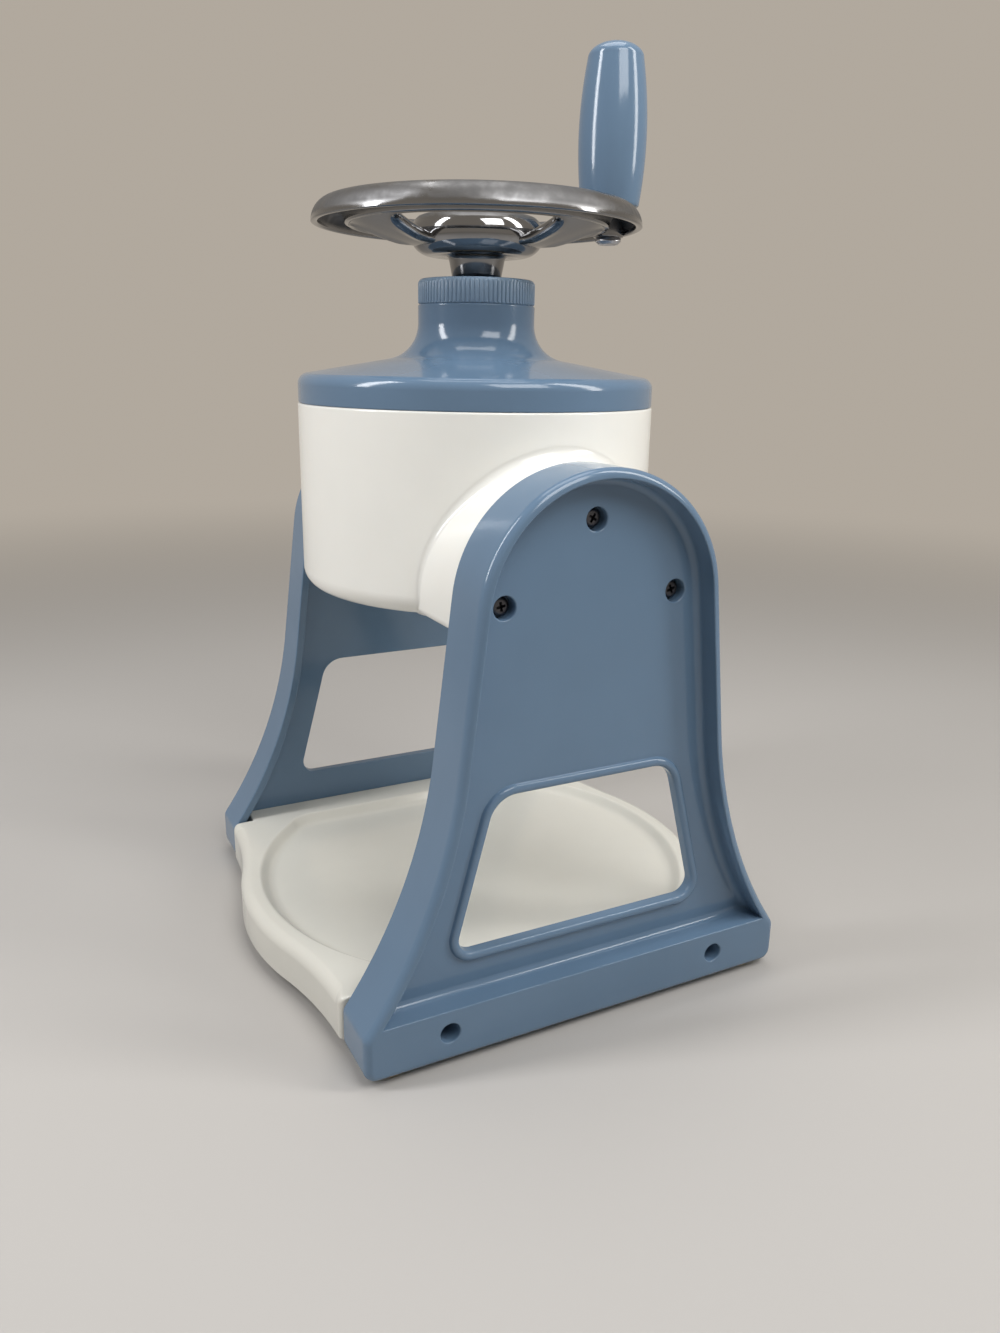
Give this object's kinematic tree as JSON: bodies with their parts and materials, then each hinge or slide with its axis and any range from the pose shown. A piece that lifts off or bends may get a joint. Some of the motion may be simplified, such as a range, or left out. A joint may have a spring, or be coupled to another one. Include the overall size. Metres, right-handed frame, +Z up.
{
  "type": "ice shaver",
  "caption": "Hand-cranked ice shaver with a bladed hopper held between arched stands over a tray, a lift-off lid, a crank wheel with a knob and a sprung spiked ice press.",
  "frame": {"origin": "middle of the footprint on the table", "axes": "+Z up along the spindle, +X from the left to the right stand, -Y towards the open front"},
  "size_m": [0.176, 0.176, 0.3065],
  "materials": {
    "blue_plastic": "glossy slate-blue moulding",
    "white_plastic": "glossy warm-white moulding",
    "chrome": "bright plate",
    "steel": "satin",
    "dark_steel": "blackened screw",
    "nylon": "natural nylon",
    "pad_rubber": "amber soft pad"
  },
  "bodies": {
    "frame": {"right_stand": "blue_plastic", "left_stand": "blue_plastic", "base_tray": "white_plastic", "hopper": "white_plastic", "foot_pads": "pad_rubber", "hopper_screws": "dark_steel", "base_screws": "dark_steel", "blade": "steel", "blade_clamp": "steel", "blade_screws": "steel"},
    "lid": {"lid": "blue_plastic", "neck_cap": "blue_plastic", "spindle_bush": "nylon", "spring_washer": "steel", "press_spring": "steel"},
    "press": {"thrust_washer": "steel"},
    "crank": {"spindle": "steel", "hand_wheel": "chrome", "wheel_nut": "chrome", "ice_gripper": "nylon", "gripper_spikes": "steel", "gripper_screw": "steel", "knob_washer": "steel"},
    "knob": {"crank_knob": "blue_plastic", "knob_screw": "steel"}
  },
  "joints": [
    {"name": "lid_lift", "type": "slide", "parent": "frame", "child": "lid", "axis": [0, 0, 1], "range_m": [0, 0.085]},
    {"name": "press_slide", "type": "slide", "parent": "lid", "child": "press", "axis": [0, 0, 1], "range_m": [0, 0.044], "stiffness_N_per_m": 250, "springref_m": -0.03, "deforming": ["press_spring"]},
    {"name": "crank_spin", "type": "hinge", "parent": "press", "child": "crank", "pos_m": [0, 0, 0.248], "axis": [0, 0, 1], "continuous": true},
    {"name": "knob_spin", "type": "hinge", "parent": "crank", "child": "knob", "pos_m": [0.00661, 0.04704, 0.28], "axis": [0, 0, 1], "continuous": true}
  ]
}
